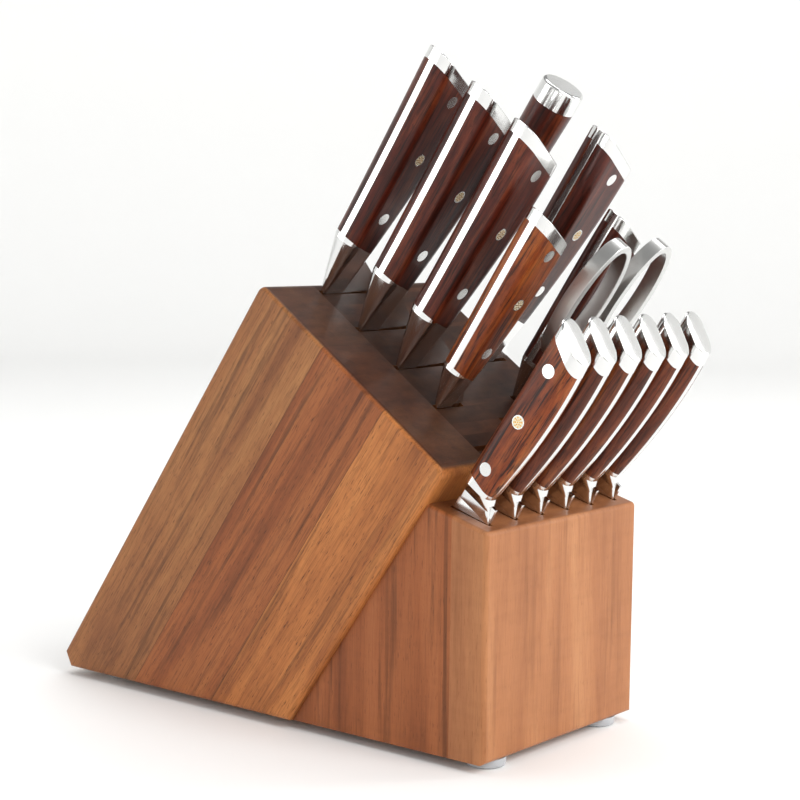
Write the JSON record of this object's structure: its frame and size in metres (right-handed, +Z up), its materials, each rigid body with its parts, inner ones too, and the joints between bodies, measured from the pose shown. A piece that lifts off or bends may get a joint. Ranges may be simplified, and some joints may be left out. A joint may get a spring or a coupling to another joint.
{
  "type": "knife block set",
  "caption": "Leaning wooden knife block with a low steak-knife block in front, holding riveted knives, a sharpening steel and kitchen shears, on round feet.",
  "frame": {"origin": "under the middle of the whole set, on the plane that the feet stand on", "axes": "+Z up, X across the blocks, the low block in front looks towards -Y"},
  "size_m": [0.133, 0.328, 0.3317],
  "materials": {
    "acacia_side_boards": "oiled, satin, straight grain along the lean",
    "acacia_core": "oiled end grain, darker, satin",
    "acacia_front_board": "oiled, satin, fine straight grain",
    "acacia_low_block": "oiled, satin",
    "clear_foot": "clear moulded bumper",
    "rivet_steel": "polished pins, the middle one a mosaic pin",
    "rosewood": "glossy resin-filled laminated hardwood",
    "orange_rosewood": "glossy resin-filled laminated hardwood with black figure",
    "polished_steel": "mirror polished",
    "ground_steel": "fine lengthwise grooves",
    "satin_steel": "satin, cast and tumbled"
  },
  "bodies": {
    "root": {"left_board_staves": "acacia_side_boards", "right_side_board": "acacia_side_boards", "core_boards": "acacia_core", "slot_spacers": "acacia_core", "steak_front_board": "acacia_front_board", "steak_inner_boards": "acacia_low_block", "steak_slot_spacers": "acacia_low_block", "feet": "clear_foot"},
    "chef_knife": {"chef_knife_back_scale": "rosewood", "chef_knife_blade": "polished_steel", "chef_knife_front_scale": "rosewood", "chef_knife_rivets": "rivet_steel"},
    "bread_knife": {"bread_knife_back_scale": "rosewood", "bread_knife_blade": "polished_steel", "bread_knife_front_scale": "rosewood", "bread_knife_rivets": "rivet_steel"},
    "santoku_knife": {"santoku_knife_back_scale": "rosewood", "santoku_knife_blade": "polished_steel", "santoku_knife_front_scale": "rosewood", "santoku_knife_rivets": "rivet_steel"},
    "paring_knife": {"paring_knife_back_scale": "orange_rosewood", "paring_knife_blade": "polished_steel", "paring_knife_front_scale": "orange_rosewood", "paring_knife_rivets": "rivet_steel"},
    "slicing_knife": {"slicing_knife_back_scale": "rosewood", "slicing_knife_blade": "polished_steel", "slicing_knife_front_scale": "rosewood", "slicing_knife_rivets": "rivet_steel"},
    "utility_knife": {"utility_knife_back_scale": "rosewood", "utility_knife_blade": "polished_steel", "utility_knife_front_scale": "rosewood", "utility_knife_rivets": "rivet_steel"},
    "steak_knife_1": {"steak_knife_1_blade": "polished_steel", "steak_knife_1_rivets": "rivet_steel", "steak_knife_1_scales": "orange_rosewood"},
    "steak_knife_2": {"steak_knife_2_blade": "polished_steel", "steak_knife_2_rivets": "rivet_steel", "steak_knife_2_scales": "rosewood"},
    "steak_knife_3": {"steak_knife_3_blade": "polished_steel", "steak_knife_3_rivets": "rivet_steel", "steak_knife_3_scales": "rosewood"},
    "steak_knife_4": {"steak_knife_4_blade": "polished_steel", "steak_knife_4_rivets": "rivet_steel", "steak_knife_4_scales": "rosewood"},
    "steak_knife_5": {"steak_knife_5_blade": "polished_steel", "steak_knife_5_rivets": "rivet_steel", "steak_knife_5_scales": "rosewood"},
    "steak_knife_6": {"steak_knife_6_blade": "polished_steel", "steak_knife_6_rivets": "rivet_steel", "steak_knife_6_scales": "rosewood"},
    "sharpening_steel": {"sharpening_steel_cap": "polished_steel", "sharpening_steel_grip": "rosewood", "sharpening_steel_rod": "ground_steel"},
    "shears": {"shears_fixed_half": "satin_steel", "shears_pivot_screw": "satin_steel"},
    "shears_turning_half": {"shears_turning_half": "satin_steel"}
  },
  "joints": [
    {"name": "chef_knife_lift", "type": "slide", "parent": "root", "child": "chef_knife", "axis": [0, -0.5807, 0.8141], "range_m": [0, 0.215]},
    {"name": "bread_knife_lift", "type": "slide", "parent": "root", "child": "bread_knife", "axis": [0, -0.5807, 0.8141], "range_m": [0, 0.215]},
    {"name": "santoku_knife_lift", "type": "slide", "parent": "root", "child": "santoku_knife", "axis": [0, -0.5807, 0.8141], "range_m": [0, 0.19]},
    {"name": "paring_knife_lift", "type": "slide", "parent": "root", "child": "paring_knife", "axis": [0, -0.5807, 0.8141], "range_m": [0, 0.105]},
    {"name": "slicing_knife_lift", "type": "slide", "parent": "root", "child": "slicing_knife", "axis": [0, -0.5807, 0.8141], "range_m": [0, 0.215]},
    {"name": "utility_knife_lift", "type": "slide", "parent": "root", "child": "utility_knife", "axis": [0, -0.5807, 0.8141], "range_m": [0, 0.14]},
    {"name": "steak_knife_1_lift", "type": "slide", "parent": "root", "child": "steak_knife_1", "axis": [0, -0.5807, 0.8141], "range_m": [0, 0.125]},
    {"name": "steak_knife_2_lift", "type": "slide", "parent": "root", "child": "steak_knife_2", "axis": [0, -0.5807, 0.8141], "range_m": [0, 0.125]},
    {"name": "steak_knife_3_lift", "type": "slide", "parent": "root", "child": "steak_knife_3", "axis": [0, -0.5807, 0.8141], "range_m": [0, 0.125]},
    {"name": "steak_knife_4_lift", "type": "slide", "parent": "root", "child": "steak_knife_4", "axis": [0, -0.5807, 0.8141], "range_m": [0, 0.125]},
    {"name": "steak_knife_5_lift", "type": "slide", "parent": "root", "child": "steak_knife_5", "axis": [0, -0.5807, 0.8141], "range_m": [0, 0.125]},
    {"name": "steak_knife_6_lift", "type": "slide", "parent": "root", "child": "steak_knife_6", "axis": [0, -0.5807, 0.8141], "range_m": [0, 0.125]},
    {"name": "sharpening_steel_lift", "type": "slide", "parent": "root", "child": "sharpening_steel", "axis": [0, -0.5807, 0.8141], "range_m": [0, 0.215]},
    {"name": "shears_lift", "type": "slide", "parent": "root", "child": "shears", "axis": [0, -0.5807, 0.8141], "range_m": [0, 0.1]},
    {"name": "shears_pivot", "type": "hinge", "parent": "shears", "child": "shears_turning_half", "pos_m": [0.028, -0.08146, 0.15695], "axis": [0, 0.8141, 0.5807], "range_deg": [0, 8]}
  ]
}
